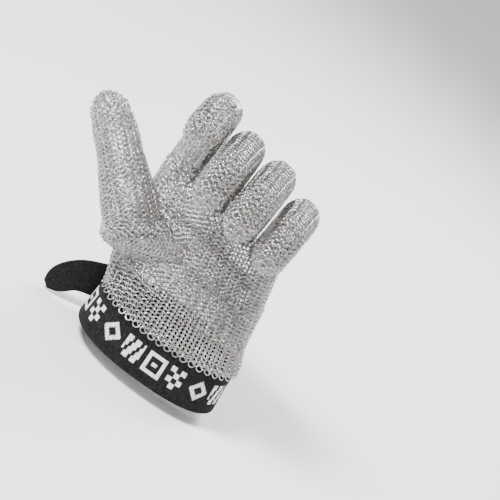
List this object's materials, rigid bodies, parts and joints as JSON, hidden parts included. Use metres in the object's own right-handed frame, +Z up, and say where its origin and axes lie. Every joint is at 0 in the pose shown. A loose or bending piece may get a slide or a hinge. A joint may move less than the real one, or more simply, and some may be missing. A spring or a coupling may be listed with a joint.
{
  "type": "chain mail glove",
  "caption": "Left-hand ring mesh glove in a gripping pose, with a closed fabric of linked steel rings and a woven hook-and-loop wrist strap with a free tail.",
  "frame": {"origin": "middle of the wrist opening, level with the lower edge of the wrist strap", "axes": "+Z up the axis of the wrist opening towards the fingers, -Y the palm side, -X the thumb side"},
  "size_m": [0.1337, 0.0838, 0.1364],
  "materials": {
    "mail": "bright welded stainless rings",
    "webbing": "ribbed black webbing with a woven white pattern",
    "loop_tape": "brushed black loops",
    "hook_tape": "black moulded hooks"
  },
  "bodies": {
    "root": {"palm_mail": "mail", "back_mail": "mail", "wrist_strap_band": "webbing", "strap_loop_tape": "loop_tape"},
    "strap_flap": {"strap_flap": "webbing", "strap_hook_tape": "hook_tape"},
    "strap_tail": {"strap_tail": "webbing"},
    "thumb_base": {"thumb_ball_mail": "mail", "thumb_base_mail": "mail"},
    "thumb_middle": {"thumb_middle_knuckle_mail": "mail", "thumb_middle_mail": "mail"},
    "thumb_end": {"thumb_end_knuckle_mail": "mail", "thumb_tip_mail": "mail"},
    "index_base": {"index_base_knuckle_mail": "mail", "index_base_mail": "mail"},
    "index_middle": {"index_middle_knuckle_mail": "mail", "index_middle_mail": "mail"},
    "index_end": {"index_end_knuckle_mail": "mail", "index_tip_mail": "mail"},
    "middle_base": {"middle_base_knuckle_mail": "mail", "middle_base_mail": "mail"},
    "middle_middle": {"middle_middle_knuckle_mail": "mail", "middle_middle_mail": "mail"},
    "middle_end": {"middle_end_knuckle_mail": "mail", "middle_tip_mail": "mail"},
    "ring_base": {"ring_base_knuckle_mail": "mail", "ring_base_mail": "mail"},
    "ring_middle": {"ring_middle_knuckle_mail": "mail", "ring_middle_mail": "mail"},
    "ring_end": {"ring_end_knuckle_mail": "mail", "ring_tip_mail": "mail"},
    "little_base": {"little_base_knuckle_mail": "mail", "little_base_mail": "mail"},
    "little_middle": {"little_middle_knuckle_mail": "mail", "little_middle_mail": "mail"},
    "little_end": {"little_end_knuckle_mail": "mail", "little_tip_mail": "mail"}
  },
  "joints": [
    {"name": "strap_flap_peel", "type": "hinge", "parent": "root", "child": "strap_flap", "pos_m": [0.0287, 0.02132, 0.011], "axis": [0.122, 0.0607, -0.9907], "range_deg": [0, 75]},
    {"name": "strap_tail_fold", "type": "hinge", "parent": "strap_flap", "child": "strap_tail", "pos_m": [-0.03225, 0.02004, 0.011], "axis": [-0.0018, 0.0555, -0.9985], "range_deg": [-4, 65]},
    {"name": "thumb_base_swing", "type": "hinge", "parent": "root", "child": "thumb_base", "pos_m": [-0.0225, -0.00591, 0.02583], "axis": [-0.5563, -0.6136, -0.5604], "range_deg": [-14, 0], "deforming": ["thumb_ball_mail"]},
    {"name": "thumb_middle_flex", "type": "hinge", "parent": "thumb_base", "child": "thumb_middle", "pos_m": [-0.04847, -0.01097, 0.05715], "axis": [-0.5563, -0.6136, -0.5604], "range_deg": [-54, 4], "deforming": ["thumb_middle_knuckle_mail"]},
    {"name": "thumb_end_flex", "type": "hinge", "parent": "thumb_middle", "child": "thumb_end", "pos_m": [-0.0723, -0.00877, 0.0784], "axis": [-0.5563, -0.6136, -0.5604], "range_deg": [-80, 4], "deforming": ["thumb_end_knuckle_mail"]},
    {"name": "index_base_flex", "type": "hinge", "parent": "root", "child": "index_base", "pos_m": [-0.0436, 0.028, 0.08131], "axis": [1, 0, 0], "range_deg": [-52, 20], "deforming": ["index_base_knuckle_mail"]},
    {"name": "index_middle_flex", "type": "hinge", "parent": "index_base", "child": "index_middle", "pos_m": [-0.0436, 0.00567, 0.1157], "axis": [1, 0, 0], "range_deg": [-45, 27], "deforming": ["index_middle_knuckle_mail"]},
    {"name": "index_end_flex", "type": "hinge", "parent": "index_middle", "child": "index_end", "pos_m": [-0.0436, -0.01781, 0.12069], "axis": [1, 0, 0], "range_deg": [-43, 14], "deforming": ["index_end_knuckle_mail"]},
    {"name": "middle_base_flex", "type": "hinge", "parent": "root", "child": "middle_base", "pos_m": [-0.0243, 0.02706, 0.07858], "axis": [1, 0, 0], "range_deg": [-62, 23], "deforming": ["middle_base_knuckle_mail"]},
    {"name": "middle_middle_flex", "type": "hinge", "parent": "middle_base", "child": "middle_middle", "pos_m": [-0.0243, -0.00295, 0.11076], "axis": [1, 0, 0], "range_deg": [-56, 34], "deforming": ["middle_middle_knuckle_mail"]},
    {"name": "middle_end_flex", "type": "hinge", "parent": "middle_middle", "child": "middle_end", "pos_m": [-0.0243, -0.02863, 0.10669], "axis": [1, 0, 0], "range_deg": [-54, 12], "deforming": ["middle_end_knuckle_mail"]},
    {"name": "ring_base_flex", "type": "hinge", "parent": "root", "child": "ring_base", "pos_m": [-0.005, 0.02611, 0.07584], "axis": [1, 0, 0], "range_deg": [-60, 25], "deforming": ["ring_base_knuckle_mail"]},
    {"name": "ring_middle_flex", "type": "hinge", "parent": "ring_base", "child": "ring_middle", "pos_m": [-0.005, -0.00275, 0.10905], "axis": [1, 0, 0], "range_deg": [-57, 33], "deforming": ["ring_middle_knuckle_mail"]},
    {"name": "ring_end_flex", "type": "hinge", "parent": "ring_middle", "child": "ring_end", "pos_m": [-0.005, -0.0285, 0.10543], "axis": [1, 0, 0], "range_deg": [-55, 11], "deforming": ["ring_end_knuckle_mail"]},
    {"name": "little_base_flex", "type": "hinge", "parent": "root", "child": "little_base", "pos_m": [0.0143, 0.02517, 0.0731], "axis": [1, 0, 0], "range_deg": [-58, 27], "deforming": ["little_base_knuckle_mail"]},
    {"name": "little_middle_flex", "type": "hinge", "parent": "little_base", "child": "little_middle", "pos_m": [0.0143, 0.00315, 0.1003], "axis": [1, 0, 0], "range_deg": [-58, 32], "deforming": ["little_middle_knuckle_mail"]},
    {"name": "little_end_flex", "type": "hinge", "parent": "little_middle", "child": "little_end", "pos_m": [0.0143, -0.01869, 0.09762], "axis": [1, 0, 0], "range_deg": [-56, 10], "deforming": ["little_end_knuckle_mail"]}
  ]
}
